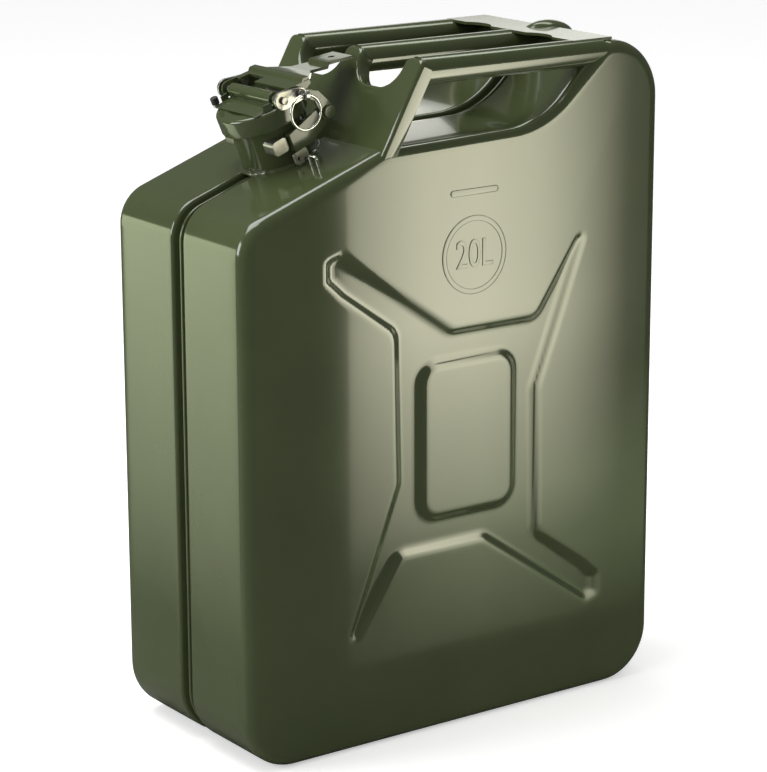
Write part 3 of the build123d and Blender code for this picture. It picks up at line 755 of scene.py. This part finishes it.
# camera, floor and lights
stage = {"targetX": 12.49, "targetY": 27.84, "targetZ": 217.48, "distance": 2034.05, "azimuth": -35.53,
         "elevation": 14.83, "roll": -0.18, "lens": 134.2, "floorHalf": 6000.0}
lights = {
    "floorLight": 0.88, "floorDark": 0.1, "floorGlow": 0.45, "seen": 1.0, "mirrored": 0.12, "diffuse": 0.60,
    "soft": [
        # name, place, aim, (width, height) in mm, power in W
        ("overhead", (-500, 500, 2200), (0, 0, 0), (1500, 1500), 40),
        ("left", (-1500, 500, 700), (-172, 0, 250), (700, 700), 11),
    ],
    "panels": [
        # seen only in the gloss: name, place, aim, size, power, colour, stops across, stops upwards
        ("facePanel", (134, -198, 226.5), (134, -78, 226.5), (285.6, 443), 3.45, (1.0, 0.97, 0.74),
         [(0, 0.5), (0.245, 0.95), (0.41, 1), (0.6, 0.82), (0.7, 0.62), (0.8, 0.35), (0.9, 0.06),
          (1, 0.05)],
         [(0, 0.05), (0.15, 0.08), (0.25, 0.34), (0.35, 0.52), (0.45, 0.74), (0.56, 1), (1, 0.9)]),
        ("sidePanel", (-292, 197, 190), (-172, 197, 190), (240, 370), 0.85, (0.9, 1.0, 0.65),
         [(0, 1), (1, 0.9)], [(0, 0), (0.3, 0.32), (0.6, 0.6), (1, 1)]),
        ("backPanel", (134, 198, 226.5), (134, 78, 226.5), (285.6, 443), 2.0, (1.0, 0.97, 0.74),
         [(0, 0.2), (0.3, 0.6), (0.6, 1), (1, 0.5)], [(0, 0), (0.3, 0.4), (0.6, 1), (1, 0.9)]),
        ("streakPanel", (560, 300, 1250), (20, 0, 450), (600, 160), 1.8, (0.95, 1.0, 0.85),
         [(0, 1), (1, 1)], [(0, 0.3), (0.4, 1), (1, 0.6)]),
        ("behindPanel", (629, 711, 696), (125, 0, 466), (520, 250), 0.7, (1.0, 1.0, 0.92),
         [(0, 1), (1, 0.5)], [(0, 1), (1, 1)]),
        ("lowPanel", (175, -178, 105), (175, -78, 105), (330, 200), 0.16, (0.8, 1.0, 0.55),
         [(0, 0.3), (0.25, 1), (1, 1)], [(0, 0), (0.35, 1), (0.6, 0.9), (1, 0)]),
    ],
}


def floorMaterial():
    # light to the camera, dark where the gloss mirrors it
    material, tree, shader, _ = newMaterial("paleFloor")
    path = tree.nodes.new("ShaderNodeLightPath")
    tones = [(0, (lights["floorLight"],) * 3), (1, (lights["floorDark"],) * 3)]
    tree.links.new(rampNode(tree, path.outputs["Is Glossy Ray"], tones), shader.inputs["Base Color"])
    shader.inputs["Roughness"].default_value = 0.6
    shader.inputs["Emission Color"].default_value = (1, 1, 1, 1)
    tree.links.new(spanNode(tree, path.outputs["Is Camera Ray"], 0.0, lights["floorGlow"]),
                   shader.inputs["Emission Strength"])
    return material


def areaLight(name, place, aim, size, power, colour=(1, 1, 1)):
    data = bpy.data.lights.new(name, "AREA")
    data.shape = "RECTANGLE"
    data.size, data.size_y = size[0] * mm, size[1] * mm
    data.energy = power
    data.color = colour
    obj = bpy.data.objects.new(name, data)
    obj.location = Vector(place) * mm
    obj.rotation_euler = (Vector(aim) - Vector(place)).to_track_quat("-Z", "Y").to_euler()
    bpy.context.scene.collection.objects.link(obj)
    return obj


def glossPanel(name, place, aim, size, power, colour, across, upwards):
    # a studio panel that brightens gradually over its width and height
    obj = areaLight(name, place, aim, size, power, colour)
    obj.visible_camera = False
    obj.visible_diffuse = False
    data = obj.data
    data.use_nodes = True
    tree = data.node_tree
    geometry = tree.nodes.new("ShaderNodeNewGeometry")
    parts = tree.nodes.new("ShaderNodeSeparateXYZ")
    tree.links.new(geometry.outputs["Parametric"], parts.inputs["Vector"])
    product = tree.nodes.new("ShaderNodeMath")
    product.operation = "MULTIPLY"
    for k, (axis, stops) in enumerate((("X", across), ("Y", upwards))):
        grey = rampNode(tree, parts.outputs[axis], [(place, (level,) * 3) for place, level in stops])
        tree.links.new(grey, product.inputs[k])
    tree.links.new(product.outputs["Value"], tree.nodes["Emission"].inputs["Strength"])


def makeFloor():
    bm = bmesh.new()
    bmesh.ops.create_grid(bm, x_segments=1, y_segments=1, size=stage["floorHalf"])
    bm.transform(worldSpace)
    mesh = bpy.data.meshes.new("floor")
    bm.to_mesh(mesh)
    bm.free()
    mesh.materials.append(floorMaterial())
    obj = bpy.data.objects.new("floor", mesh)
    bpy.context.scene.collection.objects.link(obj)


def makeStage():
    makeFloor()
    world = bpy.data.worlds.new("studio")
    bpy.context.scene.world = world
    world.use_nodes = True
    studio = world.node_tree
    backdrop = studio.nodes["Background"]
    backdrop.inputs["Color"].default_value = (1, 1, 1, 1)
    path = studio.nodes.new("ShaderNodeLightPath")
    level = None
    for ray, strength in (("Is Glossy Ray", lights["mirrored"]), ("Is Camera Ray", lights["seen"])):
        blend = studio.nodes.new("ShaderNodeMix")
        blend.inputs["B"].default_value = strength
        blend.inputs["A"].default_value = lights["diffuse"]
        if level:
            studio.links.new(level, blend.inputs["A"])
        studio.links.new(path.outputs[ray], blend.inputs["Factor"])
        level = blend.outputs["Result"]
    studio.links.new(level, backdrop.inputs["Strength"])
    for name, place, aim, size, power in lights["soft"]:
        areaLight(name, place, aim, size, power)
    for panel in lights["panels"]:
        glossPanel(*panel)
    data = bpy.data.cameras.new("camera")
    data.lens = stage["lens"]
    data.sensor_width = 36
    data.clip_start, data.clip_end = 0.1, 50
    camera = bpy.data.objects.new("camera", data)
    a, e = radians(stage["azimuth"]), radians(stage["elevation"])
    back = Vector((sin(a) * cos(e), -cos(a) * cos(e), sin(e)))
    target = Vector((stage["targetX"], stage["targetY"], stage["targetZ"])) * mm
    camera.location = target + back * stage["distance"] * mm
    turn = (-back).to_track_quat("-Z", "Y").to_matrix() @ Matrix.Rotation(radians(stage["roll"]), 3, "Z")
    camera.rotation_euler = turn.to_euler()
    bpy.context.scene.collection.objects.link(camera)
    bpy.context.scene.camera = camera
    bpy.context.scene.view_settings.view_transform = "Standard"


makeStage()
print("stage made")
